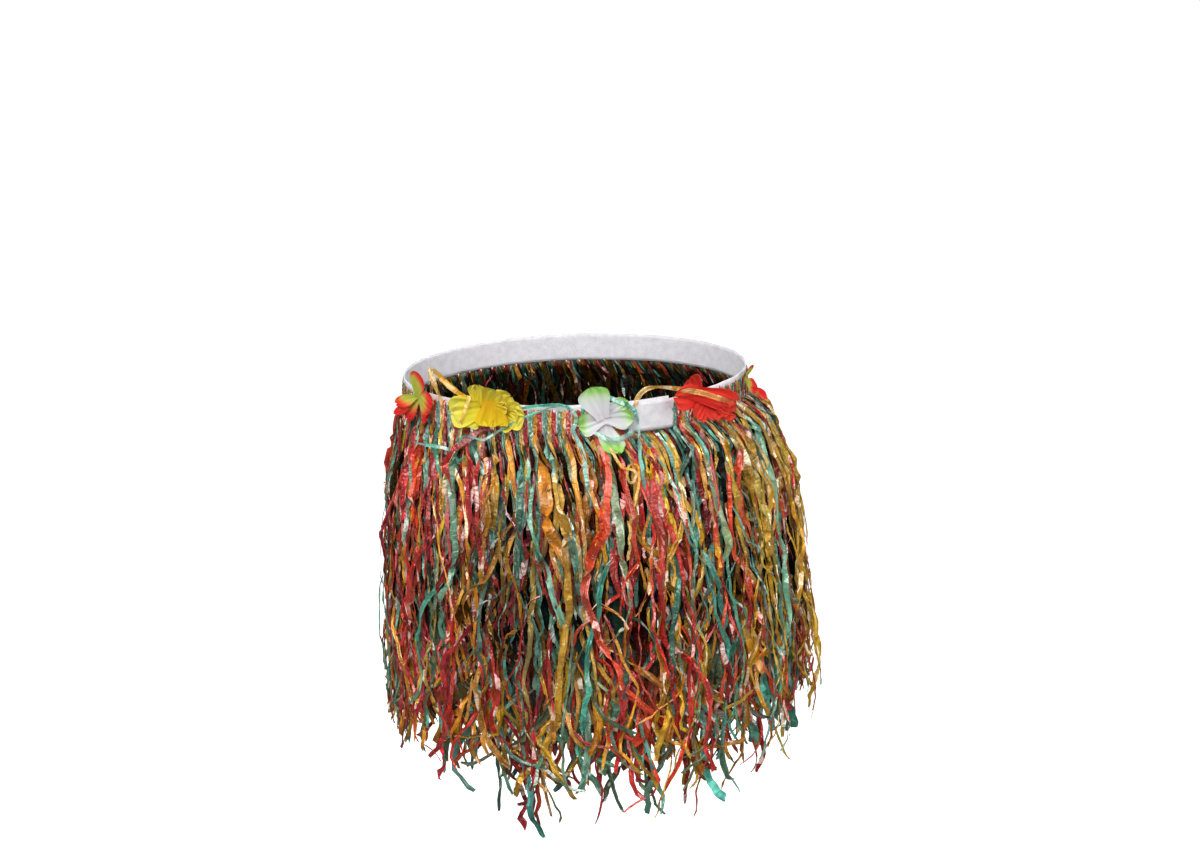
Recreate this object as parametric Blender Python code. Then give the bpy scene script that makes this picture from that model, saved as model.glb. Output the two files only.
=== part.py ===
"""Party grass skirt, shaped as it is worn, with an empty hollow where the wearer stands.

A woven waistband tape goes once round the waist, and its bare end laps over its other end at the front, where a hook
patch holds it. Plastic film strips in three colours hang from the tape. They are sewn on in short runs: the strips
of one colour in one run are fused to a narrow header strip, and their cut tops stand up above it on the tape. Five
cloth flowers are sewn over the headers.

Metres, +Z up, -Y is the wearer's front. The origin is the centre of the waistband, where the waist holds the skirt.
"""

import math
import random
from collections import namedtuple

import bmesh
import bpy
import numpy as np
from mathutils import Vector

# Waistband tape
BAND_HEIGHT = 0.025
BAND_WALL = 0.0012
BAND_STEPS = 72  # columns of faces round the waist
WAIST_TILT = 0.033  # rise towards +X, as a slope
LAP_ANGLE = math.radians(31)  # where the under end of the tape lies, from the front centre towards +X
TAB_LENGTH = 0.036  # the bare end that laps over the under end
LAP_RAMP = 0.055  # length over which the tape rises to pass over its own end
SEAM_GAP = 0.0003  # between pieces that touch

# Fringe
COLOURS = ("red", "gold", "teal")
RUNS = 10  # header strips round the waist, for each colour
STRIPS_PER_RUN = 7
FILM = 0.0009  # thickness of a header and of its strips
HEADER_HEIGHT = 0.004
HEADER_END = 0.0007  # how far a header runs on past its first and last strip
LAYER_SHIFT = 0.0035  # sideways, so that each layer's strips show between those of the layer over it
TOP_HEIGHT = 0.0145  # a strip's cut top, above the header
TOP_WIDTH = 0.0030
STRIP_WIDTH = 0.0085
TIP_WIDTH = 0.0045
RING_DEPTHS = (0.034, 0.085, 0.165, 0.245)  # cross-sections of every strip, below the waist
SHORTEST_TIP, LONGEST_TIP = 0.288, 0.352
LAYER_SPREAD = 0.005  # extra distance between neighbouring layers, where the fringe hangs free
SPREAD_DEPTH = 0.090  # how far below the band the layers reach that distance
RIPPLE = 0.0008  # how far a strip bends in and out
TWIST = math.radians(14)
WANDER = 0.0020  # how far a strip strays sideways in its own lane
SWAY = 0.006  # how far neighbouring strips swing together at the hem
SWAY_WAVES = 5  # swings round the waist

# Closure
PATCH_LENGTH = 0.028
PATCH_HEIGHT = 0.018
PATCH_WALL = 0.0008

# Flowers
PETAL_WALL = 0.0010
PETAL_RINGS = (0.30, 0.65, 1.0)  # share of the radius
STEPS_PER_PETAL = 8

# The skirt's inner surface: an ellipse at each depth below the waist.
Profile = namedtuple("Profile", "depth half_width half_depth centre_x")
PROFILES = (
    Profile(-0.040, 0.1475, 0.1105, 0.000),
    Profile(0.0125, 0.1475, 0.1105, 0.000),
    Profile(0.032, 0.1575, 0.1170, 0.008),
    Profile(0.075, 0.1635, 0.1260, 0.013),
    Profile(0.145, 0.1695, 0.1345, 0.017),
    Profile(0.215, 0.1755, 0.1400, 0.020),
    Profile(0.270, 0.1790, 0.1430, 0.022),
    Profile(0.360, 0.1815, 0.1460, 0.025),
)

# Which colour lies outermost, in the middle and innermost, run by run from the lap towards -X and round.
LAYER_ORDER = (
    ("gold", "red", "teal"),
    ("teal", "gold", "red"),
    ("gold", "red", "teal"),
    ("red", "gold", "teal"),
    ("red", "teal", "gold"),
    ("gold", "teal", "red"),
    ("teal", "red", "gold"),
    ("red", "gold", "teal"),
    ("gold", "teal", "red"),
    ("teal", "red", "gold"),
)

# angle is from the front centre towards +X, height above the band's middle, turn the first petal's from -X upwards,
# squash the height over the width, lobe how deeply the petals part, cup how far their tips stand off and ruffle the
# height of the waves in them.
Flower = namedtuple("Flower", "name angle height radius squash petals lobe cup ruffle turn colour")
FLOWERS = (
    Flower("flower_left", -59, 0.006, 0.026, 1.00, 5, 0.45, 0.013, 0.0000, 100, "flame"),
    Flower("flower_yellow", -27, 0.010, 0.031, 0.66, 5, 0.16, 0.008, 0.0012, 30, "yellow"),
    Flower("flower_white", 10, 0.000, 0.028, 1.00, 5, 0.38, 0.007, 0.0000, 20, "white_green"),
    Flower("flower_red", 44, 0.005, 0.031, 0.66, 5, 0.18, 0.009, 0.0012, 70, "scarlet"),
    Flower("flower_right", 80, -0.002, 0.024, 1.00, 5, 0.45, 0.013, 0.0000, 55, "flame"),
)

# Colour, roughness and metallic value of each material.
Finish = namedtuple("Finish", "colour roughness metallic")
FINISHES = {
    "tape": Finish((0.86, 0.84, 0.86), 0.85, 0.0),
    "hook": Finish((0.80, 0.80, 0.80), 0.90, 0.0),
    "red": Finish((0.62, 0.09, 0.10), 0.28, 0.25),
    "gold": Finish((0.72, 0.45, 0.06), 0.28, 0.25),
    "teal": Finish((0.13, 0.45, 0.36), 0.28, 0.25),
    "flame": Finish((0.85, 0.22, 0.08), 0.75, 0.0),
    "yellow": Finish((0.87, 0.76, 0.05), 0.75, 0.0),
    "white_green": Finish((0.74, 0.86, 0.66), 0.75, 0.0),
    "scarlet": Finish((0.86, 0.07, 0.05), 0.75, 0.0),
}

HALF_BAND = BAND_HEIGHT / 2
LAYER_STEP = FILM + SEAM_GAP
HEADERS_OUT = BAND_WALL + SEAM_GAP  # the innermost header's inner face, out from the skirt's inner surface
FLOWERS_OUT = HEADERS_OUT + len(COLOURS) * LAYER_STEP  # clear of the outermost header
PATCH_OUT = FLOWERS_OUT
LAP_LIFT = PATCH_OUT + PATCH_WALL + SEAM_GAP  # the tape's inner face where it passes over its own end


def waist_lengths():
    """Ellipse angles from the lap towards -X and round, and the length of waist up to each of them."""
    angles = LAP_ANGLE - np.linspace(0, 2.4 * math.pi, 1441)
    waist = PROFILES[1]
    x = waist.half_width * np.sin(angles)
    y = waist.half_depth * np.cos(angles)
    steps = np.hypot(np.diff(x), np.diff(y))
    return angles, np.concatenate([[0.0], np.cumsum(steps)])


WAIST_ANGLES, WAIST_LENGTHS = waist_lengths()
WAIST = float(np.interp(2 * math.pi - LAP_ANGLE, -WAIST_ANGLES, WAIST_LENGTHS))  # once round
RUN_LENGTH = WAIST / RUNS
LANE = RUN_LENGTH / STRIPS_PER_RUN


def along_of(angle_deg):
    """Length of waist from the lap to an angle, going towards -X and round."""
    angle = math.radians(angle_deg)
    if angle > LAP_ANGLE:
        angle -= 2 * math.pi
    return float(np.interp(-angle, -WAIST_ANGLES, WAIST_LENGTHS))


def smooth(x):
    """0 below 0 and 1 above 1, with an even curve between them."""
    x = min(max(x, 0.0), 1.0)
    return x * x * (3 - 2 * x)


def profile_at(depth):
    """Half width, half depth and centre x of the skirt's inner surface at a depth."""
    depths = [p.depth for p in PROFILES]
    return [float(np.interp(depth, depths, column)) for column in list(zip(*PROFILES))[1:]]


def lift_at(along, depth):
    """How far the lapped end of the tape, and what hangs from it, stands outside the rest."""
    rise = smooth((along - (WAIST - LAP_RAMP)) / (LAP_RAMP - 0.003))
    return LAP_LIFT * rise * (1 - smooth((depth - HALF_BAND) / SPREAD_DEPTH))


def skirt_point(along, depth, out):
    """The point at a length round the waist, a depth below it and a distance outside the inner surface."""
    angle = float(np.interp(along, WAIST_LENGTHS, WAIST_ANGLES))
    half_width, half_depth, centre_x = profile_at(depth)
    normal = Vector((math.sin(angle) / half_width, -math.cos(angle) / half_depth, 0)).normalized()
    point = Vector((centre_x + half_width * math.sin(angle), -half_depth * math.cos(angle), 0))
    point += normal * (out + lift_at(along, depth))
    point.z = WAIST_TILT * point.x - depth
    return point


def skirt_axes(along, depth):
    """Unit vectors along the waist and straight out of the skirt, both level."""
    step = 0.001
    tangent = skirt_point(along + step, depth, 0) - skirt_point(along - step, depth, 0)
    tangent.z = 0
    tangent.normalize()
    return tangent, Vector((0, 0, 1)).cross(tangent)


def material_for(name):
    finish = FINISHES[name]
    material = bpy.data.materials.get(name) or bpy.data.materials.new(name)
    material.use_nodes = True
    shader = material.node_tree.nodes["Principled BSDF"]
    shader.inputs["Base Color"].default_value = (*finish.colour, 1)
    shader.inputs["Roughness"].default_value = finish.roughness
    shader.inputs["Metallic"].default_value = finish.metallic
    material.diffuse_color = (*finish.colour, 1)
    return material


def add_object(name, mesh_maker, finish):
    """Turns a finished bmesh into one named object with its material."""
    bmesh.ops.recalc_face_normals(mesh_maker, faces=mesh_maker.faces)
    mesh = bpy.data.meshes.new(name)
    mesh_maker.to_mesh(mesh)
    mesh_maker.free()
    mesh.materials.append(material_for(finish))
    obj = bpy.data.objects.new(name, mesh)
    bpy.context.scene.collection.objects.link(obj)
    return obj


def wall_strip(bm, alongs, top, bottom, inner, outer):
    """A closed strip of wall from column to column, and the top and bottom face of each column.

    alongs are the columns' places round the waist, top and bottom are depths, inner and outer distances out.
    """
    corners = ((top, outer), (bottom, outer), (bottom, inner), (top, inner))
    columns = [[bm.verts.new(skirt_point(s, depth, out)) for depth, out in corners] for s in alongs]
    tops, bottoms = [], []
    for here, after in zip(columns, columns[1:]):
        for i in range(4):
            j = (i + 1) % 4
            face = bm.faces.new((here[i], here[j], after[j], after[i]))
            if i == 1:
                bottoms.append(face)
            if i == 3:
                tops.append(face)
    bm.faces.new(columns[0])
    bm.faces.new(reversed(columns[-1]))
    return tops, bottoms


def extend_through(bm, face, rings):
    """Carries a four-sided face on through rings of four points.

    The two wide sides are split along diagonals that run the same way, so that a twisted strip keeps its thickness.
    """
    here = list(face.verts)
    bm.faces.remove(face)
    for ring in rings:
        after = [bm.verts.new(point) for point in ring]
        for a, b in ((0, 1), (1, 2), (2, 3), (0, 3)):
            bm.faces.new((here[a], here[b], after[b]))
            bm.faces.new((here[a], after[b], after[a]))
        here = after
    bm.faces.new(here)


def make_waistband():
    """The tape: once round the waist, and on over its own end as the bare tab."""
    bm = bmesh.new()
    end = WAIST + TAB_LENGTH
    alongs = [end * i / BAND_STEPS for i in range(BAND_STEPS + 1)]
    wall_strip(bm, alongs, -HALF_BAND, HALF_BAND, 0.0, BAND_WALL)
    return add_object("waistband", bm, "tape")


def make_hook_patch():
    """The hook patch between the tab and the strips' tops that it closes on."""
    bm = bmesh.new()
    start = (TAB_LENGTH - PATCH_LENGTH) / 2
    alongs = [start + PATCH_LENGTH * i / 4 for i in range(5)]
    wall_strip(bm, alongs, -PATCH_HEIGHT / 2, PATCH_HEIGHT / 2, PATCH_OUT, PATCH_OUT + PATCH_WALL)
    return add_object("hook_patch", bm, "hook")


def sway_at(along, depth):
    """How far the strips at one place swing sideways together: none at the band and most at the hem."""
    swing = math.sin(2 * math.pi * SWAY_WAVES * along / WAIST) + 0.5 * math.sin(
        2 * math.pi * (SWAY_WAVES + 4) * along / WAIST + 1
    )
    return SWAY * swing * smooth(depth / LONGEST_TIP) / 1.5


def strip_ring(along, depth, width, layer, free, chance):
    """The four corners of a strip's cross-section. free is 0 where it is held and 1 where it hangs free."""
    along += sway_at(along, depth) + free * WANDER * chance.uniform(-1, 1)
    spread = layer * LAYER_SPREAD * smooth((depth - HALF_BAND) / SPREAD_DEPTH)
    out = HEADERS_OUT + layer * LAYER_STEP + FILM / 2 + spread + free * RIPPLE * chance.uniform(-1, 1)
    centre = skirt_point(along, depth, out)
    tangent, normal = skirt_axes(along, depth)
    twist = free * TWIST * chance.uniform(-1, 1)
    across = tangent * math.cos(twist) + normal * math.sin(twist)
    through = normal * math.cos(twist) - tangent * math.sin(twist)
    return [
        centre + across * (side * width / 2) + through * (face * FILM / 2)
        for side, face in ((-1, 1), (-1, -1), (1, -1), (1, 1))
    ]


def strip_rings(along, layer, chance):
    """The cross-sections of one strip, from the header down to its tip."""
    tip = LONGEST_TIP - (LONGEST_TIP - SHORTEST_TIP) * chance.random() ** 0.7
    depths = [d for d in RING_DEPTHS if d < tip - 0.01]
    rings = []
    for depth in depths:
        free = smooth((depth - HALF_BAND) / SPREAD_DEPTH)
        width = TOP_WIDTH + (STRIP_WIDTH - TOP_WIDTH) * (0.55 + 0.45 * free) * chance.uniform(0.85, 1.0)
        rings.append(strip_ring(along, depth, width, layer, free, chance))
    rings.append(strip_ring(along, tip, TIP_WIDTH, layer, 1.0, chance))
    return rings


def strip_top(along, layer):
    """The upper edge of a strip's cut top, flat on the tape."""
    depth = HALF_BAND - HEADER_HEIGHT - TOP_HEIGHT
    inner = HEADERS_OUT + layer * LAYER_STEP
    left, right = along - TOP_WIDTH / 2, along + TOP_WIDTH / 2
    return [
        skirt_point(left, depth, inner),
        skirt_point(left, depth, inner + FILM),
        skirt_point(right, depth, inner + FILM),
        skirt_point(right, depth, inner),
    ]


def make_run(run, layer, colour, chance):
    """One colour's strips in one run: a header strip, each strip's cut top above it and the strip below it."""
    first = run * RUN_LENGTH + LANE / 2 + (layer - 1) * LAYER_SHIFT
    centres = [first + LANE * i for i in range(STRIPS_PER_RUN)]
    alongs = [centres[0] - TOP_WIDTH / 2 - HEADER_END]
    for centre in centres:
        alongs += [centre - TOP_WIDTH / 2, centre + TOP_WIDTH / 2]
    alongs.append(centres[-1] + TOP_WIDTH / 2 + HEADER_END)
    bm = bmesh.new()
    inner = HEADERS_OUT + layer * LAYER_STEP
    tops, bottoms = wall_strip(bm, alongs, HALF_BAND - HEADER_HEIGHT, HALF_BAND, inner, inner + FILM)
    for i, centre in enumerate(centres):
        extend_through(bm, tops[2 * i + 1], [strip_top(centre, layer)])
        extend_through(bm, bottoms[2 * i + 1], strip_rings(centre, layer, chance))
    return add_object(f"fringe_{run + 1:02d}_{colour}", bm, colour)


def flower_out(flower, share, turn, depth):
    """How far a petal's underside lies outside the inner surface, clear of the fringe below it."""
    layers = len(COLOURS) - 1
    fringe = layers * LAYER_SPREAD * smooth((depth - HALF_BAND) / SPREAD_DEPTH) + 2 * RIPPLE * (depth > HALF_BAND)
    waves = flower.ruffle * math.sin(3 * flower.petals * turn) * share
    return FLOWERS_OUT + fringe + flower.cup * share**2 + waves


def make_flower(flower):
    """A cloth flower: one shell whose petals part at the rim and stand off the skirt towards their tips."""
    along = along_of(flower.angle)
    steps = flower.petals * STEPS_PER_PETAL

    def petal_point(share, step, extra):
        turn = 2 * math.pi * step / steps
        parting = abs(math.cos(flower.petals * turn / 2)) ** 0.6
        radius = flower.radius * share * (1 - flower.lobe * (1 - parting) * share)
        bearing = turn + math.radians(flower.turn)
        depth = -(flower.height + radius * flower.squash * math.sin(bearing))
        out = flower_out(flower, share, turn, depth) + extra
        return skirt_point(along - radius * math.cos(bearing), depth, out)

    bm = bmesh.new()
    shells = []
    for extra in (PETAL_WALL, 0.0):
        middle = bm.verts.new(petal_point(0, 0, extra))
        rings = [[bm.verts.new(petal_point(share, k, extra)) for k in range(steps)] for share in PETAL_RINGS]
        for k in range(steps):
            bm.faces.new((middle, rings[0][k - 1], rings[0][k]))
            for inside, outside in zip(rings, rings[1:]):
                bm.faces.new((inside[k - 1], outside[k - 1], outside[k], inside[k]))
        shells.append(rings[-1])
    for k in range(steps):
        bm.faces.new((shells[0][k - 1], shells[1][k - 1], shells[1][k], shells[0][k]))
    obj = add_object(flower.name, bm, flower.colour)
    obj.data.shade_smooth()
    obj.data.set_sharp_from_angle(angle=math.radians(50))
    return obj


def main():
    for obj in list(bpy.data.objects):
        bpy.data.objects.remove(obj)
    chance = random.Random(11)
    make_waistband()
    make_hook_patch()
    for run, order in enumerate(LAYER_ORDER):
        for layer, colour in enumerate(reversed(order)):
            make_run(run, layer, colour, chance)
    for flower in FLOWERS:
        make_flower(flower)


main()
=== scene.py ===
"""Looks of the party grass skirt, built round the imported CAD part.

Every strip of plastic film is a crinkled ribbon of its own. The ribbons of one CAD fringe node are one
piece, which stands for that node. The tape and the five cloth flowers are shells in the places of their CAD
nodes, and a few loose film strips lie over them. Metres, +Z up, -Y is the wearer's front, and the origin is
the centre of the waistband.
"""

import math

import bpy
import numpy as np
from mathutils import Euler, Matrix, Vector


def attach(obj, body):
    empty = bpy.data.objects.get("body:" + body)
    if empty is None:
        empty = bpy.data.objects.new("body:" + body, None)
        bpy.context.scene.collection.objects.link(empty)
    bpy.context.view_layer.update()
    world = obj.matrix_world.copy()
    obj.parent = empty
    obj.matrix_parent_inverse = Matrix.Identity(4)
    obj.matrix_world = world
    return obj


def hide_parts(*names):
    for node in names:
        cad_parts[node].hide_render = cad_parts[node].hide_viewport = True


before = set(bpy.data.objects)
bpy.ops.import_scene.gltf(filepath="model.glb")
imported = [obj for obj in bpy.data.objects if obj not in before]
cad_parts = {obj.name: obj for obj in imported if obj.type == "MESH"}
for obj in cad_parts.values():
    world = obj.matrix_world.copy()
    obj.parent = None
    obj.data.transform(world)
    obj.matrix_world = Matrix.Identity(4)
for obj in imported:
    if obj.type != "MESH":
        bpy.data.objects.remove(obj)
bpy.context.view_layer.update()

# ---------------------------------------------------------------- sizes repeated from the part

BAND_HEIGHT = 0.025
BAND_WALL = 0.0012
WAIST_TILT = 0.033  # rise towards +X, as a slope
LAP_ANGLE = math.radians(31)  # where the under end of the tape lies, from the front centre towards +X
TAB_LENGTH = 0.036  # of the bare end that laps over the under end
LAP_RAMP = 0.055  # length over which the tape lifts before it laps
LAP_LIFT = 0.0062
RUNS = 10
TOPS_PER_RUN = 7  # sewn tops of each colour in one run
LAYER_SHIFT = 0.0035  # sideways, from one layer of tops to the next
SPREAD_DEPTH = 0.090  # over which the fringe spreads below the tape
FLOWERS_OUT = 0.0051
HALF_BAND = BAND_HEIGHT / 2

# The skirt's inner surface, an ellipse at each depth below the waist: depth, half width, half depth and
# centre x.
PROFILES = np.array(
    (
        (-0.040, 0.1475, 0.1105, 0.000),
        (0.0125, 0.1475, 0.1105, 0.000),
        (0.032, 0.1575, 0.1170, 0.008),
        (0.075, 0.1635, 0.1260, 0.013),
        (0.145, 0.1695, 0.1345, 0.017),
        (0.215, 0.1755, 0.1400, 0.020),
        (0.270, 0.1790, 0.1430, 0.022),
        (0.360, 0.1815, 0.1460, 0.025),
    )
)

COLOURS = ("red", "gold", "teal")

# ---------------------------------------------------------------- film strips

# The ribbons at each sewn top: broad quiet ones behind the others, those over them, and narrower ones that
# split off lower down.
RIBBONS_AT_TOP = ("inner", "inner", "outer", "outer", "split", "split")
# Least and greatest width of each kind before it folds.
INNER_WIDTH = 0.0140
OUTER_WIDTHS = 0.0060, 0.0095
BROAD_WIDTHS = 0.0080, 0.0108
SPLIT_WIDTHS = 0.0032, 0.0062
THREAD_WIDTHS = 0.0014, 0.0028
SPLIT_FORWARD = {"red": 0.28, "gold": 0.10, "teal": -0.02}  # how much farther out the split ones hang
THREADS_PER_RUN = 3  # thin split threads of each colour in one run
SEWN_WIDTH = 0.0028  # of a ribbon where it is gathered on the tape
PLEAT_STEP, LEAST_PLEAT = 0.0017, 0.0007  # usual and least step between a ribbon's pleats, on the tape
PLEAT_HEIGHT = 0.0005
RING_STEP = 0.0055  # between the rings of points along a hanging ribbon
STRAY = 0.0045  # usual distance that a hanging ribbon strays from its lane
KINK_STEP = 0.055  # usual length between a hanging ribbon's kinks
FLIP_STEP = 0.085  # usual length between the places where it turns over
CLEAR_OF_TAPE = 0.0003  # between the tape and the innermost sewn tops
STACK = 0.0004  # how much farther out than these the outermost tops are sewn
PUFF = 0.0030  # and how much farther they stand as they leave the tape
SPREAD = 0.0110  # and as they hang
FARTHEST_SEWN, FARTHEST_HUNG = 0.0035, 0.0180  # how far out from the tape's face a ribbon may wander
SEWN_END = HALF_BAND + 0.0015  # where the ribbons leave the tape
TOP_DEPTH = -0.0100  # upper end of the sewn tops
SHORTEST, LONGEST = 0.288, 0.356  # of the ribbons below the waist, along their own wandering line

# Body colours of the film, linear: the usual one and two that some of its strips have.
FILM_COLOURS = {
    "red": ((0.54, 0.026, 0.020), (0.66, 0.060, 0.015), (0.44, 0.018, 0.034)),
    "gold": ((0.68, 0.335, 0.012), (0.66, 0.245, 0.010), (0.60, 0.385, 0.030)),
    "teal": ((0.135, 0.350, 0.240), (0.090, 0.400, 0.300), (0.210, 0.265, 0.135)),
}
# Painted highlight: what a crease of each colour is painted where it would catch the light, like mother of
# pearl.
PAINTED_PEARL_GLINT = {"red": (0.86, 0.42, 0.42), "gold": (0.88, 0.72, 0.38), "teal": (0.55, 0.84, 0.78)}
# How much shorter the fringe is than where it hangs lowest: angle from the front centre, rise.
HEM = np.array(
    (
        (-180, 0.004),
        (-120, 0.010),
        (-60, 0.024),
        (-25, 0.010),
        (10, 0.000),
        (35, 0.005),
        (60, 0.026),
        (90, 0.052),
        (130, 0.024),
        (180, 0.004),
    )
)
# Painted shade: the dark see-through colour of the shaded strips deep in the fringe.
PAINTED_SHADE_BEHIND = (0.060, 0.040, 0.028)  # what film looks like where the strips behind it show through

# How far out each colour tends to hang, 0 for innermost and 1 for outermost, and the painted light on the
# fringe, at angles from the front centre towards +X: angle, red, gold, teal, painted light, where under 1 is
# painted shade.
FRONT = np.array(
    (
        (-180, 0.55, 0.55, 0.58, 1.00),
        (-95, 0.60, 0.55, 0.52, 1.00),
        (-62, 0.85, 0.45, 0.42, 1.10),
        (-51, 0.84, 0.50, 0.45, 1.15),
        (-43, 0.55, 0.82, 0.42, 1.10),
        (-36, 0.78, 0.60, 0.45, 0.78),
        (-28, 0.78, 0.38, 0.60, 0.36),
        (-20, 0.42, 0.60, 0.88, 0.56),
        (-12, 0.25, 0.76, 0.96, 0.88),
        (-3, 0.36, 0.86, 0.66, 0.80),
        (5, 0.92, 0.70, 0.36, 0.74),
        (14, 0.88, 0.74, 0.36, 0.80),
        (22, 0.70, 0.72, 0.60, 0.88),
        (32, 0.62, 0.60, 0.66, 0.92),
        (42, 0.50, 0.72, 0.62, 0.95),
        (55, 0.45, 0.85, 0.58, 1.00),
        (72, 0.45, 0.88, 0.52, 0.84),
        (90, 0.48, 0.82, 0.50, 0.92),
        (130, 0.55, 0.60, 0.55, 1.00),
        (180, 0.55, 0.55, 0.58, 1.00),
    )
)

# ---------------------------------------------------------------- skirt surface


def waist_lengths():
    """Ellipse angles from the lap towards -X and round, and the length of waist up to each of them."""
    angles = LAP_ANGLE - np.linspace(0, 2.4 * math.pi, 1441)
    x = PROFILES[1, 1] * np.sin(angles)
    y = PROFILES[1, 2] * np.cos(angles)
    return angles, np.concatenate([[0.0], np.cumsum(np.hypot(np.diff(x), np.diff(y)))])


WAIST_ANGLES, WAIST_LENGTHS = waist_lengths()
WAIST = float(np.interp(2 * math.pi - LAP_ANGLE, -WAIST_ANGLES, WAIST_LENGTHS))
RUN_LENGTH = WAIST / RUNS
LANE = RUN_LENGTH / TOPS_PER_RUN
# Uneven tufts along the hem: lengths of waist, and how much longer or shorter the ribbons are there.
CLUMPS = np.linspace(0, WAIST, 58), np.random.default_rng(3).normal(0, 0.009, 58)


def along_of(angle_deg):
    """Length of waist from the lap to an angle, going towards -X and round."""
    angle = math.radians(angle_deg)
    if angle > LAP_ANGLE:
        angle -= 2 * math.pi
    return float(np.interp(-angle, -WAIST_ANGLES, WAIST_LENGTHS))


def angle_of(along):
    """The angle in degrees, from -180 to 180, at a length of waist from the lap."""
    angle = math.degrees(float(np.interp(along, WAIST_LENGTHS, WAIST_ANGLES)))
    return (angle + 180) % 360 - 180


def rise(x, start, length):
    """A soft step: 0 up to start, and 1 from length past it."""
    share = np.clip((x - start) / length, 0.0, 1.0)
    return share * share * (3 - 2 * share)


def skirt_points(along, depth, out):
    """Points at lengths round the waist, depths below it and distances out from the skirt's inner surface."""
    along, depth, out = np.broadcast_arrays(along, depth, out)
    before = (WAIST_ANGLES[1] - WAIST_ANGLES[0]) / WAIST_LENGTHS[1] * np.minimum(along, 0)
    angle = np.interp(along, WAIST_LENGTHS, WAIST_ANGLES) + before
    half_width, half_depth, centre_x = (
        np.interp(depth, PROFILES[:, 0], PROFILES[:, column]) for column in (1, 2, 3)
    )
    normal_x = np.sin(angle) / half_width
    normal_y = -np.cos(angle) / half_depth
    size = np.hypot(normal_x, normal_y)
    lift = LAP_LIFT * rise(along, WAIST - LAP_RAMP, LAP_RAMP - 0.003)
    reach = out + lift * (1 - rise(depth, HALF_BAND, SPREAD_DEPTH))
    x = centre_x + half_width * np.sin(angle) + reach * normal_x / size
    y = -half_depth * np.cos(angle) + reach * normal_y / size
    return np.stack([x, y, WAIST_TILT * x - depth], -1)


def unit(vectors):
    return vectors / np.maximum(np.linalg.norm(vectors, axis=-1, keepdims=True), 1e-12)


# ---------------------------------------------------------------- meshes


class Shapes:
    """Collects vertices, quads and two values at each vertex, and turns them into one object.

    A vertex has a tint, whose alpha is a painted share of the light that reaches it, and a place on its strip
    or petal.
    """

    def __init__(self):
        self.points, self.faces, self.tints, self.places = [], [], [], []
        self.count = 0

    def add_grid(self, points, tints, places, closed=False):
        """Adds a sheet from a grid of points of shape rows, columns, 3."""
        rows, columns = points.shape[:2]
        index = self.count + np.arange(rows * columns).reshape(rows, columns)
        here, right = index[:, :-1], index[:, 1:]
        if closed:
            here, right = index, np.roll(index, -1, axis=1)
        if tints.shape[-1] == 3:
            tints = np.concatenate([tints, np.ones((*tints.shape[:-1], 1))], -1)
        self.points.append(points.reshape(-1, 3))
        self.faces.append(np.stack([here[:-1], here[1:], right[1:], right[:-1]], -1).reshape(-1, 4))
        self.tints.append(tints.reshape(-1, 4))
        self.places.append(places.reshape(-1, 3))
        self.count += rows * columns

    def make(self, name, material, smooth_shading=False):
        mesh = bpy.data.meshes.new(name)
        points = np.concatenate(self.points)
        faces = np.concatenate(self.faces)
        mesh.vertices.add(len(points))
        mesh.vertices.foreach_set("co", points.astype(np.float32).ravel())
        mesh.loops.add(faces.size)
        mesh.loops.foreach_set("vertex_index", faces.astype(np.int32).ravel())
        mesh.polygons.add(len(faces))
        mesh.polygons.foreach_set("loop_start", np.arange(0, faces.size, 4, dtype=np.int32))
        mesh.update(calc_edges=True)
        mesh.validate()
        tint = mesh.color_attributes.new("tint", "FLOAT_COLOR", "POINT")
        tint.data.foreach_set("color", np.concatenate(self.tints).astype(np.float32).ravel())
        place = mesh.attributes.new("place", "FLOAT_VECTOR", "POINT")
        place.data.foreach_set("vector", np.concatenate(self.places).astype(np.float32).ravel())
        mesh.materials.append(material)
        obj = bpy.data.objects.new(name, mesh)
        bpy.context.scene.collection.objects.link(obj)
        if smooth_shading:
            mesh.shade_smooth()
        else:
            mesh.shade_flat()
        return obj


# ---------------------------------------------------------------- ribbons


def drift(rng, count, hold, spread):
    """Random values about 0, each of which keeps a share hold of the one before it."""
    values = rng.normal(0, spread, count)
    for i in range(1, count):
        values[i] += hold * values[i - 1]
    return values


def add_film(shapes, rng, centre, width, cup, skew, tint, identity, twist):
    """Adds a film ribbon along a line of points, four points across, so that it can fold along its length.

    width, cup, skew, tint and twist have one value for each point of the line. cup is how far the two middle
    points stand off the edges, skew how far the edges are moved along the ribbon in opposite directions.
    """
    count = len(centre)
    down = unit(np.gradient(centre, axis=0))
    outward = unit(centre * np.array([1.0, 1.6, 0.0]) + np.array([0.0, 0.0, 1e-6]))
    across = unit(np.cross(outward, down))
    normal = np.cross(across, down)
    side = across * np.cos(twist)[:, None] + normal * np.sin(twist)[:, None]
    face = normal * np.cos(twist)[:, None] - across * np.sin(twist)[:, None]
    half = 0.5 * width[:, None]
    lanes = half * np.array([-1.0, -rng.uniform(0.15, 0.55), rng.uniform(0.15, 0.55), 1.0])
    bulge = np.zeros((count, 4, 1))
    bulge[:, 1, 0] = cup
    bulge[:, 2, 0] = -0.6 * cup + drift(rng, count, 0.85, 0.05) * width
    slide = lanes / np.maximum(half, 1e-6) * skew[:, None]
    points = centre[:, None] + side[:, None] * lanes[:, :, None] + face[:, None] * bulge
    points = points + down[:, None] * slide[:, :, None]
    tints = np.repeat(np.clip(tint, 0, 0.95)[:, None], 4, axis=1)
    run = np.concatenate([[0], np.cumsum(np.linalg.norm(np.diff(centre, axis=0), axis=1))])
    places = np.zeros((count, 4, 3))
    places[:, :, 0] = run[:, None]
    places[:, :, 1] = lanes
    places[:, :, 2] = identity
    shapes.add_grid(points, tints, places)


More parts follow.
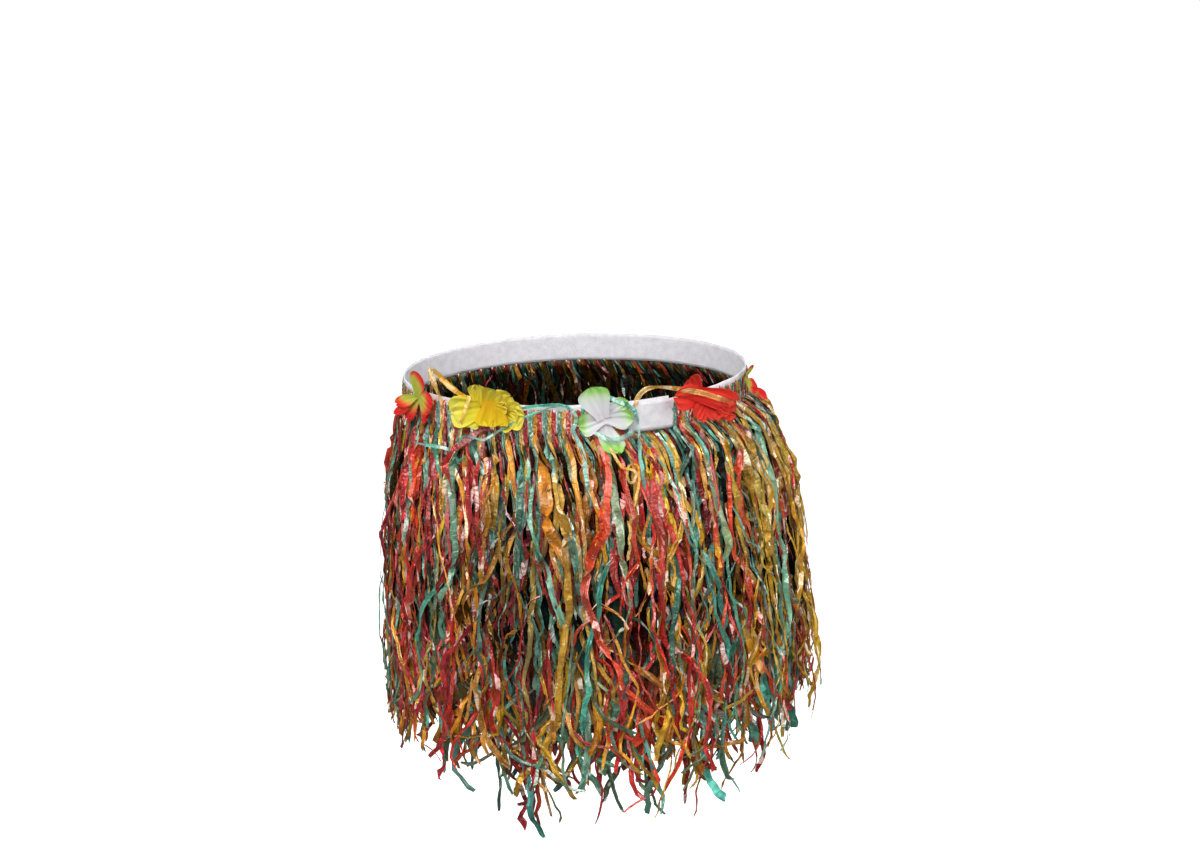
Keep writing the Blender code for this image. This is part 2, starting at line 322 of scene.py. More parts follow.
def hanging_line(rng, length, wild):
    """The course of a hanging ribbon: run along it, sideways, down and away from its lane.

    It sways softly, kinks now and then, and curls towards its tip.
    """
    count = max(round(length / RING_STEP), 4)
    runs = np.linspace(0, length, count + 1)
    step = runs[1]
    hang = np.minimum(runs / 0.10, 1.0)
    tail = np.maximum((runs - 0.72 * length) / (0.28 * length), 0.0)
    swing = 0.060 + 0.045 * hang + 0.080 * wild * hang + (0.05 + 0.15 * wild) * tail
    curl = rng.normal(0, 0.35 + 0.85 * wild)
    side, down, away = [0.0], [0.0], [0.0]
    sway = kink = tilt = 0.0
    for i in range(count):
        sway = 0.80 * sway + rng.normal(0, swing[i])
        kink *= 0.86
        if rng.random() < step / KINK_STEP:
            kink += rng.normal(0, 0.25 + 0.35 * wild)
        slant = sway + kink + curl * tail[i] ** 2 - (1 - tail[i]) * side[-1] / 0.08
        most = 1.0 + 1.1 * tail[i]
        slant = min(max(slant, -most), most)
        tilt = 0.7 * tilt + rng.normal(0, 0.05 + 0.07 * hang[i] + 0.09 * tail[i]) - 0.3 * away[-1] / 0.035
        side.append(side[-1] + step * math.sin(slant))
        down.append(down[-1] + step * math.cos(slant))
        away.append(away[-1] + step * tilt)
    return runs, np.array(side), np.array(down), np.array(away)


def turning(rng, count):
    """How far a ribbon is turned about its own line: it drifts, and flips over now and then."""
    flipped = rng.random(count) < RING_STEP / FLIP_STEP
    flips = np.where(flipped, rng.choice([-math.pi, math.pi], count), 0.0)
    flips[:2] = 0.0
    flips[-5:] = 0.0
    half_turns = np.convolve(np.cumsum(flips), (0.25, 0.5, 0.25), "same")
    half_turns[-2:] = half_turns[-3]
    return half_turns + drift(rng, count, 0.84, 0.16) + rng.normal(0, 0.2)


def ribbon_breadth(rng, depth, width, inner):
    """How broad a hanging ribbon looks at each depth: it is folded, and rolls up lower down."""
    fold = np.clip(0.84 + drift(rng, len(depth), 0.90, 0.075), 0.38, 1.0)
    if inner:
        opened = 0.70 + 0.30 * rise(depth, 0.03, 0.07)
        return width * fold * opened * (1 - 0.35 * rise(depth, 0.23, 0.07))
    rolled = 0.30 + 60 * max(width - BROAD_WIDTHS[0], 0.0)  # the broadest roll up most
    return width * fold * (1 - rolled * rise(depth, 0.05, 0.12))


def painted_fringe_light(depth, angle, out):
    """Painted light and shade at each depth. FRONT's last column dims it, less at the tape and the tips."""
    # Painted lighter near the tape and towards the tips, darker between.
    painted_fade = 1.10 - 0.20 * rise(depth, 0, 0.14) + 0.16 * rise(depth, 0.17, 0.10)
    # Painted shade: towards +X the top of the fringe is darkened, as it leans away from the light there.
    turned_away_shade = rise(angle, 46, 14) * (1 - rise(angle, 104, 14))
    painted_fade *= 1 - 0.36 * turned_away_shade * (1 - rise(depth, 0.045, 0.05))
    painted_dim = 1 - np.interp(angle, FRONT[:, 0], FRONT[:, 4])
    # Strips far behind get more of the painted shade.
    if out < 0.3:
        painted_dim *= 1.7
    return painted_fade * (1 - painted_dim * rise(depth, 0.035, 0.045) * (1 - 0.6 * rise(depth, 0.16, 0.10)))


def ribbon_tints(rng, lane, depth, out, name, inner):
    """A ribbon's colour at each depth with painted shade and sheen, and how much of the light reaches it,
    painted, as alpha.
    """
    count = len(depth)
    # Painted shade: strips behind the others are darkened as if in their shade, but not the sewn tops, and
    # less the tips.
    sewn = 1 - rise(depth, 0.004, 0.016 if inner else 0.032)
    painted_light_share = 0.035 + 1.12 * float(rise(out, 0.12, 0.74))
    painted_light_share = painted_light_share + (1.05 - painted_light_share) * sewn + (0.75 - painted_light_share) * rise(depth, 0.16, 0.09) * (painted_light_share < 0.75)
    uneven = rng.normal(-0.03, 0.50 if inner else 0.25) * (1 - 0.7 * sewn) + drift(rng, count, 0.8, 0.08)
    shade = painted_light_share * painted_fringe_light(depth, angle_of(lane), out) * np.exp(uneven)
    showing = 0.06 if name == "teal" else 0.0  # teal film is the clearest
    # Painted shade: lower down the film takes on a dark colour, as if shaded strips behind it showed through.
    murky = np.clip(rng.normal(showing, 0.16) + drift(rng, count, 0.9, 0.06), 0, 0.65) * rise(depth, 0, 0.10)
    behind = np.array(PAINTED_SHADE_BEHIND) + 0.30 * film_colour(rng, COLOURS[rng.integers(3)], lane)
    tint = film_colour(rng, name, lane) * (1 - murky)[:, None] + behind * murky[:, None]
    # Painted sheen: the film is painted paler towards its pearl colour, as if it caught the light, most near
    # the tape.
    pale = np.clip(0.04 + drift(rng, count, 0.7, 0.08), 0, 0.5) * (1 - 0.75 * rise(depth, 0, 0.12))
    tint = shade[:, None] * (tint * (1 - pale)[:, None] + np.array(PAINTED_PEARL_GLINT[name]) * pale[:, None])
    return np.hstack([tint, np.minimum(painted_light_share, 1.0)[:, None]])


def add_ribbon(shapes, rng, lane, top, reach_down, out, width, name, wild, identity, inner=False):
    """Adds one ribbon of the fringe: pleated where it is sewn on the tape, then hanging to its tip.

    lane is its length of waist, top and reach_down the depths where it starts and where it would end if it
    hung straight, out how far out it hangs, from 0 to 1, and wild how much it strays, from 0 to 1. An inner
    one is a broad, quiet ribbon behind the others.
    """
    sewn_end = max(SEWN_END, top)
    pleats = top + np.cumsum(PLEAT_STEP * rng.uniform(0.6, 1.4, 20))
    pleats = pleats[pleats < sewn_end - LEAST_PLEAT]
    pleat_count = len(pleats)
    runs, side, down, away = hanging_line(rng, reach_down - sewn_end, wild)
    count = pleat_count + len(runs)
    gathered = np.arange(count) < pleat_count
    depth = np.concatenate([pleats, sewn_end + down])
    own = rng.normal(0, STRAY) * rise(depth, HALF_BAND, SPREAD_DEPTH)
    own[gathered] = rng.normal(0, 0.0004, pleat_count)
    sideways = own + np.concatenate([np.zeros(pleat_count), side])

    loose = rise(depth, HALF_BAND - 0.001, 0.011) if pleat_count else np.ones(count)
    breadth = SEWN_WIDTH + (ribbon_breadth(rng, depth, width, inner) - SEWN_WIDTH) * loose
    breadth[-1] *= 0.72
    twist = turning(rng, count) * (0.25 + 0.75 * rise(depth, HALF_BAND, 0.04))
    if inner:
        twist *= 0.35
    twist[gathered] = rng.normal(0, 0.12, pleat_count)
    cup = (0.06 + drift(rng, count, 0.88, 0.09)) * breadth
    skew = drift(rng, count, 0.3, 0.0013)
    zigzag = np.where(np.arange(count) % 2, PLEAT_HEIGHT, 0.0) * gathered * rng.uniform(0.2, 1.0, count)
    hung = rise(depth, HALF_BAND, SPREAD_DEPTH)
    stacked = BAND_WALL + CLEAR_OF_TAPE + STACK * out
    reach = stacked + PUFF * out * loose + (0.0005 + SPREAD * out) * hung
    reach = reach + np.concatenate([np.zeros(pleat_count), away])
    reach = np.clip(reach, CLEAR_OF_TAPE, BAND_WALL + FARTHEST_SEWN + FARTHEST_HUNG * hung)
    # Near the tape a turned ribbon stands off it, so that its edge doesn't go through.
    clear = stacked + 0.5 * breadth * np.abs(np.sin(twist)) + zigzag
    reach = np.maximum(reach, clear * (1 - rise(depth, HALF_BAND, 0.02)))
    centre = skirt_points(lane + sideways, depth, reach)
    tints = ribbon_tints(rng, lane, depth, out, name, inner)
    add_film(shapes, rng, centre, breadth, cup, skew, tints, identity, twist)


def film_colour(rng, name, along):
    """A film colour, shifted a little from strip to strip. Towards +X the gold is olive more than orange."""
    usual, second, third = FILM_COLOURS[name]
    if name == "gold" and 42 < angle_of(along) < 120:
        second = third
    pick = rng.random()
    colour = usual if pick < 0.52 else second if pick < 0.80 else third
    return np.array(colour) * np.exp(rng.normal(0, 0.06, 3))


def fringe_length(rng, along):
    """How far below the waist a ribbon would reach if it hung straight.

    Ribbons side by side tend to end together.
    """
    raised = np.interp(angle_of(along), HEM[:, 0], HEM[:, 1])
    clump = np.interp(along, CLUMPS[0], CLUMPS[1])
    length = SHORTEST + (LONGEST - SHORTEST) * rng.random() ** 1.4 - raised + clump
    if rng.random() < 0.08:
        length -= rng.uniform(0.02, 0.10)
    return float(length)


def front_of(along, name):
    """How far out a colour tends to hang, from 0 to 1."""
    return float(np.interp(angle_of(along), FRONT[:, 0], FRONT[:, 1 + COLOURS.index(name)]))


def make_fringe(run, layer, name, material):
    """All the ribbons and threads of one CAD fringe node."""
    rng = np.random.default_rng(1000 * run + 10 * COLOURS.index(name) + 7)
    shapes = Shapes()
    start = run * RUN_LENGTH + LANE / 2 + (layer - 1) * LAYER_SHIFT
    identity = 70 * (run * len(COLOURS) + layer)
    for top in range(TOPS_PER_RUN):
        lane = start + LANE * top
        front = front_of(lane, name)
        for number, kind in enumerate(RIBBONS_AT_TOP):
            identity += 1
            out = 0.78 * front + rng.normal(0, 0.20)
            width = rng.uniform(*OUTER_WIDTHS)
            wild = rng.random() ** 2
            length = fringe_length(rng, lane)
            begin = TOP_DEPTH + rng.uniform(0, 0.0015)
            # Now and then a broad ribbon lies right over the others.
            if rng.random() < 0.45 * (front - 0.20):
                out = rng.uniform(0.82, 1.0)
                width = rng.uniform(*BROAD_WIDTHS)
                wild *= 0.4
            if kind == "inner":
                out = 0.30 * number * rng.random()
                width = INNER_WIDTH
                wild = 0.05
                length -= rng.uniform(0.008, 0.045)
            if kind == "split":
                width = rng.uniform(*SPLIT_WIDTHS)
                begin = rng.uniform(0.014, 0.120)
                out += SPLIT_FORWARD[name]
            out = min(max(out, 0.0), 1.0)
            add_ribbon(shapes, rng, lane, begin, length, out, width, name, wild, identity, kind == "inner")
    for _ in range(THREADS_PER_RUN):
        identity += 1
        along = start + rng.uniform(0, LANE * (TOPS_PER_RUN - 1))
        begin = rng.uniform(HALF_BAND, 0.08)
        length = fringe_length(rng, along) - rng.uniform(0.02, 0.12)
        out = min(max(front_of(along, name) + rng.normal(0.15, 0.3), 0.0), 1.0)
        width = rng.uniform(*THREAD_WIDTHS)
        add_ribbon(shapes, rng, along, begin, length, out, width, name, 0.6, identity)
    return shapes.make(f"strips_{run + 1:02d}_{name}", material)


# Loose strips that lie over the tape and the flowers. Each row is a point: angle, depth in mm, out in mm.
LOOSE_STRIPS = {
    "gold_loop": (
        (-46.8, -9.0, 5), (-47.4, -17.9, 7), (-49.0, -26.7, 8), (-50.4, -38.5, 9), (-48.2, -37.5, 10),
        (-45.6, -33.8, 11), (-41.1, -25.1, 10), (-37.5, -19.6, 8), (-33.0, -15.0, 6),
    ),
    "gold_bridge": (
        (18.4, -9.0, 8), (18.6, -16.3, 9), (21.0, -23.9, 10), (25.0, -25.3, 11), (32.8, -21.2, 12),
        (40.4, -14.5, 15), (47.0, -7.0, 16), (53.0, 0.5, 13), (57.6, 6.5, 9), (59.5, 22.0, 10),
        (60.0, 60.0, 14),
    ),
    "teal_thread": (
        (-38.0, 22.0, 12), (-35.7, 12.5, 13), (-28.1, 15.3, 15), (-22.9, 5.9, 14), (-15.6, -5.1, 9),
        (-8.9, -12.0, 6), (-4.4, -13.5, 5),
    ),
    "teal_on_band": (
        (-23.3, -6.0, 5), (-17.5, -11.0, 6), (-12.1, -13.5, 6), (-4.5, -14.5, 6), (-0.6, -11.0, 6),
        (0.5, -2.5, 6), (-0.2, 8.0, 6), (0.9, 24.0, 9), (-0.6, 50.0, 12), (0.8, 84.0, 9),
    ),
    "teal_over_tab": (
        (8.8, -21.0, 7), (13.4, -15.4, 9), (17.6, -9.0, 10), (19.6, -1.0, 9), (18.9, 17.8, 9),
        (16.6, 30.0, 10), (15.9, 48.4, 11), (16.9, 66.0, 8),
    ),
    "amber_on_yellow": (
        (-33.2, -20.5, 11), (-33.8, -13.0, 13), (-35.2, -3.1, 14), (-36.9, 7.7, 13), (-37.6, 18.0, 11),
    ),
    "teal_on_white": (
        (3.8, 4.5, 6), (7.3, 11.4, 12), (10.3, 15.5, 15), (14.0, 13.5, 13), (17.0, 10.0, 9),
    ),
    "teal_across": (
        (-57.0, 28.0, 13), (-52.0, 26.5, 15), (-47.0, 25.0, 16), (-42.5, 24.5, 16), (-40.0, 27.0, 15),
        (-38.5, 36.0, 12),
    ),
    "orange_curl": (
        (8.9, 20.0, 15), (9.1, 30.4, 17), (10.2, 36.6, 18), (12.4, 35.4, 19), (13.8, 39.5, 20),
        (12.9, 46.4, 20), (11.0, 47.8, 19), (10.3, 41.6, 18), (11.8, 34.3, 17), (14.2, 32.0, 16),
        (15.1, 39.0, 15), (13.7, 54.7, 15), (10.6, 78.1, 15), (8.8, 110.6, 16),
    ),
    "red_kink": (
        (-26.0, 6.0, 6), (-30.3, 8.0, 8), (-33.3, 15.0, 11), (-39.3, 24.0, 14), (-43.2, 36.6, 15),
        (-41.2, 51.7, 15), (-42.5, 80.0, 16), (-41.0, 120.0, 16),
    ),
}

# How each loose strip looks: colour, width in mm, and how much it twists.
LOOSE_LOOKS = {
    "gold_loop": ("gold", 5.4, 0.5),
    "gold_bridge": ("gold", 4.6, 0.5),
    "teal_thread": ("teal", 2.4, 0.4),
    "teal_on_band": ("teal", 3.6, 0.4),
    "teal_over_tab": ("teal", 4.2, 0.5),
    "amber_on_yellow": ("gold", 3.6, 0.1),
    "teal_on_white": ("teal", 5.0, 0.1),
    "teal_across": ("teal", 3.2, 0.9),
    "red_kink": ("red", 6.0, 0.5),
    "orange_curl": ("gold", 2.6, 0.4),
}
SEE_THROUGH = ("amber_on_yellow", "teal_on_white", "gold_bridge")


def make_loose_strip(name, material):
    """A strip that lies loose, through its row's points, softly rounded off."""
    colour_name, width_mm, turning = LOOSE_LOOKS[name]
    rng = np.random.default_rng(sum(ord(letter) for letter in name))
    rows = np.array(LOOSE_STRIPS[name])
    alongs = np.array([along_of(angle) for angle in rows[:, 0]])
    corners = skirt_points(alongs, rows[:, 1] / 1000, rows[:, 2] / 1000)
    run = np.concatenate([[0], np.cumsum(np.linalg.norm(np.diff(corners, axis=0), axis=1))])
    places = np.linspace(0, run[-1], int(run[-1] / 0.0030) + 2)
    centre = np.stack([np.interp(places, run, corners[:, axis]) for axis in range(3)], 1)
    for _ in range(2):
        centre[1:-1] = (centre[:-2] + 2 * centre[1:-1] + centre[2:]) / 4
    centre[:, 0] += drift(rng, len(places), 0.90, 0.0005) * rise(places, 0, 0.05)
    twist = np.interp(places, run, rng.normal(0, turning, len(run)))
    width = width_mm / 1000 * np.interp(places, run, rng.uniform(0.75, 1.0, len(run)))
    shade = np.exp(np.interp(places, run, rng.normal(0.1, 0.1, len(run))))
    cup = np.interp(places, run, rng.normal(0, 0.0008, len(run)))
    skew = rng.normal(0, 0.0006, len(places))
    # Painted glints: stretches of the strip are painted pale towards its pearl colour, as if they caught the
    # light.
    painted_glint_share = np.interp(places, run, np.clip(rng.normal(0.22, 0.22, len(run)), 0, 0.8))[:, None]
    usual, second, _ = FILM_COLOURS[colour_name]
    tint = np.array(second if colour_name == "teal" else usual) * 1.15 * shade[:, None]
    tint = tint * (1 - painted_glint_share) + np.array(PAINTED_PEARL_GLINT[colour_name]) * painted_glint_share
    shapes = Shapes()
    add_film(shapes, rng, centre, width, cup, skew, tint, 7 * len(name), twist)
    piece = shapes.make("loose_" + name, material, smooth_shading=True)
    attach(piece, "root")
    return piece


# ---------------------------------------------------------------- tape

STITCH_STEP = 0.009  # between the places where the stitching draws the tape in or lets it out
PUCKER = 0.00022  # usual height of its puckers


def make_tape(material):
    """The waistband: a tape that goes once round and laps over its own start, its edges gently puckered."""
    rng = np.random.default_rng(5)
    end = WAIST + TAB_LENGTH
    columns = 520
    alongs = np.linspace(0, end, columns)
    stitches = np.arange(0, end + 0.010, STITCH_STEP)
    pucker = np.interp(alongs, stitches, rng.normal(0, PUCKER, len(stitches)))
    pucker = pucker * (1 - 0.7 * rise(alongs, WAIST - 0.010, 0.010))
    # Round the tape's section: depth from the middle in half heights, and which side it is on.
    heights = np.concatenate([np.linspace(-1, 1, 9), np.linspace(1, -1, 9)])
    outs = np.concatenate([np.full(9, 1.0), np.full(9, 0.0)])
    outs[[0, 8]] = 0.8
    outs[[9, 17]] = 0.2
    depth = heights[:, None] * HALF_BAND + pucker * np.abs(heights[:, None])
    out = outs[:, None] * BAND_WALL + 0.6 * pucker * np.sin(2.2 * heights[:, None] + 40 * alongs)
    points = skirt_points(alongs, depth, out)
    points = np.transpose(points, (1, 0, 2))
    places = np.zeros_like(points)
    places[:, :, 0] = alongs[:, None]
    places[:, :, 1] = heights * HALF_BAND
    places[:, :, 2] = outs * BAND_WALL
    shapes = Shapes()
    shapes.add_grid(points, np.full_like(points, 0.8), places, closed=True)
    for cap in (points[0], points[-1]):
        pairs = np.stack([cap[:9], cap[:8:-1]], 1)
        shapes.add_grid(pairs, np.full_like(pairs, 0.8), np.zeros_like(pairs))
    return shapes.make("tape", material, smooth_shading=True)


# ---------------------------------------------------------------- flowers

# One row for each flower: its place from the front centre, its height above the band's middle, how wide its
# petals are near their root as a share of their width, the height of its edge waves and of the pleats along
# its petals, and its colours.
FLOWERS = {
    "flower_left": dict(angle=-54, height=0.005, base=0.34, ruffle=0.0006, pleat=0.0001, kind="flame"),
    "flower_yellow": dict(angle=-28.3, height=0.012, base=0.62, ruffle=0.0016, pleat=0.0004, kind="yellow"),
    "flower_white": dict(angle=7.6, height=0.003, base=0.45, ruffle=0.0005, pleat=0.0001, kind="white_green"),
    "flower_red": dict(angle=41.8, height=0.007, base=0.60, ruffle=0.0016, pleat=0.0002, kind="scarlet"),
    "flower_right": dict(angle=75, height=0.001, base=0.34, ruffle=0.0005, pleat=0.0001, kind="flame"),
}

# Each petal, in mm from its flower's middle: root and tip, each to +X and up; width; how far its root and its
# tip stand out; and from 0 to 1 how blunt it is and how deep its colour is, which also paints shade on petals
# that lie under others.
PETALS = {
    "flower_left": (
        (-7.7, -5.3, 2.8, -12.8, 16, 0.5, 3.0, 0.3, 1.0),
        (-9.7, 0.7, -21.9, -17.2, 12, 1.5, 5.0, 0.1, 0.85),
        (-14.4, -2.1, -30.5, -13.0, 8, 1.0, 13.0, 0.0, 0.85),
        (-10.0, 4.6, -26.5, -4.0, 11, 2.0, 12.0, 0.0, 0.3),
        (-10.3, 8.5, 10.7, -0.6, 21, 2.5, 6.0, 0.3, 0.6),
        (-9.9, 4.1, -3.4, 27.4, 19, 3.0, 6.0, 0.0, 0.35),
    ),
    "flower_yellow": (
        (-4.5, -0.9, -4.7, 17.2, 17, 0.5, 5.0, 0.4, 0.35),
        (1.8, -1.8, 11.0, 13.9, 20, 0.8, 6.0, 0.5, 0.45),
        (7.1, -2.8, 21.7, 10.8, 22, 1.0, 6.0, 0.5, 0.35),
        (11.7, -4.6, 31.5, -4.9, 24, 1.6, 6.0, 0.4, 0.2),
        (11.6, -3.7, 24.1, -11.6, 22, 1.2, 5.0, 0.3, 0.3),
        (-8.2, -3.9, -15.6, -16.8, 20, 1.0, 5.5, 0.4, 0.05),
        (-4.6, -2.7, -25.9, -5.9, 27, 2.0, 7.5, 0.3, 0.0),
        (7.5, 5.4, 7.5, -13.6, 27, 3.4, 6.5, 1.0, 1.0),
        (8.4, 1.3, 19.5, 0.0, 12, 4.2, 7.5, 0.5, 0.6),
    ),
    "flower_white": (
        (5.5, -0.8, 19.8, 13.6, 14, 0.4, 4.0, 0.3, 1.0),
        (2.6, -3.8, 8.0, -28.1, 19, 1.0, 5.5, 0.5, 1.0),
        (3.2, -1.4, -16.3, -5.4, 20, 2.0, 6.0, 0.4, 0.85),
        (2.8, -1.7, 24.3, -2.5, 17, 2.4, 6.5, 0.4, 0.55),
        (2.7, -1.5, -8.2, 26.2, 24, 3.0, 6.5, 0.5, 0.75),
    ),
    "flower_red": (
        (-1.9, 1.3, -14.6, 21.5, 19, 0.6, 4.0, 0.5, 0.9),
        (13.3, -4.8, 31.0, -19.0, 18, 1.0, 6.0, 0.4, 0.7),
        (11.0, -3.2, 10.1, -18.0, 22, 1.4, 6.0, 0.5, 0.6),
        (5.1, -0.3, -8.7, -11.4, 20, 1.6, 6.0, 0.4, 0.3),
        (2.9, 1.7, -27.1, 9.2, 22, 2.0, 6.0, 0.4, 0.2),
        (-17.4, 11.5, 32.0, -9.5, 18, 3.2, 5.5, 0.5, 0.05),
        (10.6, -6.2, 25.0, -16.3, 11, 3.6, 7.5, 0.5, 1.0),
    ),
    "flower_right": (
        (-9.1, 7.5, -4.6, 18.0, 10, 1.0, 5.0, 0.1, 0.2),
        (-10.3, 7.9, -2.0, -6.0, 11, 1.2, 8.0, 0.2, 0.80),
        (0.5, -3.6, 11.0, -14.6, 9, 2.5, 14.0, 0.1, 1.0),
        (9.0, -12.0, 2.4, -16.4, 11, 4.0, 12.0, 0.2, 1.0),
        (-10.0, 6.6, -1.0, 0.0, 8, 2.2, 7.0, 0.2, 0.6),
    ),
}
# Turns a petal's row from mm into metres, but for its last two columns.
PETAL_UNITS = np.array((0.001,) * 7 + (1.0, 1.0))

# What a petal's colour runs through, from its root to its rim.
FLAME = ((0.42, 0.52, 0.05), (0.62, 0.52, 0.08), (0.86, 0.10, 0.03), (0.74, 0.015, 0.02))
PALE_YELLOW = ((0.76, 0.62, 0.02), (0.80, 0.72, 0.05), (0.80, 0.74, 0.12))
GOLDEN = ((0.66, 0.38, 0.004), (0.72, 0.45, 0.004), (0.76, 0.55, 0.010))
WHITE_GREEN = ((0.74, 0.70, 0.74), (0.72, 0.74, 0.76), (0.66, 0.78, 0.58), (0.32, 0.66, 0.14))
SCARLET = ((0.72, 0.014, 0.010), (0.90, 0.030, 0.016), (0.94, 0.055, 0.026))


def mixed(colours, amount):
    """Runs through a list of colours as amount goes from 0 to 1."""
    colours = np.array(colours)
    places = np.linspace(0, 1, len(colours))
    return np.stack([np.interp(amount, places, colours[:, channel]) for channel in range(3)], -1)


def petal_tints(kind, along, across, tone, rng):
    """Colours over a petal. along runs from 0 at its root to 1 at its tip, and across from -1 to 1."""
    rim = np.clip(along**2 + 0.55 * across**4 * along, 0, 1)
    # tone is the depth of a petal's colour, on some petals also painted shade.
    if kind == "flame":
        amount = 1.1 * rim + 0.35 * across * rng.choice([-1, 1]) + 0.50 * (tone - 0.4)
        shown = mixed(FLAME, amount)
    elif kind == "yellow":
        pale = mixed(PALE_YELLOW, along)
        shown = pale + tone * (mixed(GOLDEN, along) - pale)
    elif kind == "white_green":
        amount = 1.15 * along**1.6 * (0.55 + 0.65 * tone) + 0.35 * across * rng.choice([-1, 1]) * along
        shown = mixed(WHITE_GREEN, amount)
    else:
        shown = mixed(SCARLET, along) * (1.0 - 0.25 * tone)
    return shown * np.exp(0.04 * np.sin(9 * across + 3 * along))[..., None]


def add_petal(shapes, rng, look, middle, petal):
    """Adds one petal, with waves along its edge and soft pleats from its root to its tip."""
    root_x, root_z, tip_x, tip_z, width, root_out, tip_out, blunt, tone = petal
    rows, columns = 22, 25
    along = np.linspace(0, 1, rows)[:, None] * np.ones((1, columns))
    across = np.linspace(-1, 1, columns)[None, :] * np.ones((rows, 1))
    length = math.hypot(tip_x - root_x, tip_z - root_z)
    peak = 0.58 + 0.36 * blunt
    opened = look["base"] + (1 - look["base"]) * rise(along, 0, peak)
    past = np.clip((along - peak) / (1 - peak), 0, 1)
    half = 0.5 * width * opened * np.sqrt(np.clip(1 - 0.97 * past**2.4, 0, 1))
    waves = rng.uniform(5, 8)
    phase = rng.uniform(0, 6)
    ruffle = look["ruffle"] * along**1.5 * np.sin(waves * across * 1.6 + phase + 1.5 * along)
    ruffle += 0.6 * look["ruffle"] * along * np.sin(2.1 * waves * across + 2 * phase)
    ruffle += look["pleat"] * (0.3 + 0.7 * along) * np.abs(np.sin(4.6 * waves * across / 3 + phase))
    stretch = length * (along + 0.5 * ruffle / 0.01)
    fold = rng.uniform(0.05, 0.35) * half * np.abs(across) ** 1.5
    lift = root_out + (tip_out - root_out) * along**1.4 + fold + ruffle
    turn = math.atan2(tip_z - root_z, tip_x - root_x)
    right = root_x + stretch * math.cos(turn) - across * half * math.sin(turn)
    up = root_z + stretch * math.sin(turn) + across * half * math.cos(turn)
    depth = -(look["height"] + up)
    hang = 0.010 * rise(depth, HALF_BAND, SPREAD_DEPTH)
    points = skirt_points(middle - right, depth, FLOWERS_OUT + hang + lift)
    places = np.stack([along * length, across * half, np.full_like(along, 9 * turn)], -1)
    shapes.add_grid(points, petal_tints(look["kind"], along, across, tone, rng), places)


def make_flower(name, material):
    look = FLOWERS[name]
    rng = np.random.default_rng(len(name) * 31 + int(look["angle"]))
    shapes = Shapes()
    for petal in np.array(PETALS[name]) * PETAL_UNITS:
        add_petal(shapes, rng, look, along_of(look["angle"]), petal)
    piece = shapes.make(name + "_petals", material, smooth_shading=True)
    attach(piece, "root")
    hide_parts(name)
    return piece


# ---------------------------------------------------------------- materials


